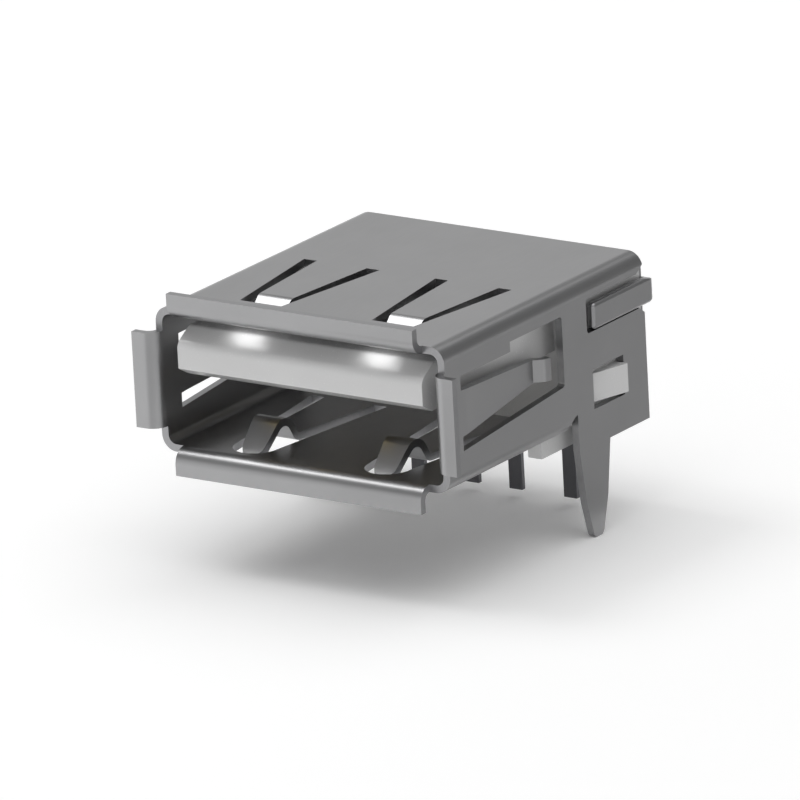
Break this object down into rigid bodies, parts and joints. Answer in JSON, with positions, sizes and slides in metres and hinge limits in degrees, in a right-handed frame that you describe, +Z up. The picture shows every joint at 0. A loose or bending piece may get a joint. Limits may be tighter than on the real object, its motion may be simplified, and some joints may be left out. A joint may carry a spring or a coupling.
{
  "type": "usb-a socket",
  "caption": "Right-angle USB-A socket for a board: a folded sheet shell with plug springs, lips and solder legs round a moulded tongue and contacts.",
  "frame": {"origin": "on the board's surface under the housing, midway between the two shield legs", "axes": "+X across the socket, +Y from the mouth to the rear, +Z up from the board"},
  "size_m": [0.0146, 0.0147, 0.0109],
  "materials": {
    "shell_plate": "satin tin plate",
    "cover_plate": "satin tin plate",
    "housing_plastic": "smooth moulded",
    "contact_metal": "gold at the contact, tin on the tail"
  },
  "bodies": {
    "root": {"shell": "shell_plate", "rear_cover": "cover_plate", "housing": "housing_plastic", "contact_vbus": "contact_metal", "contact_data_minus": "contact_metal", "contact_data_plus": "contact_metal", "contact_ground": "contact_metal"}
  },
  "joints": []
}
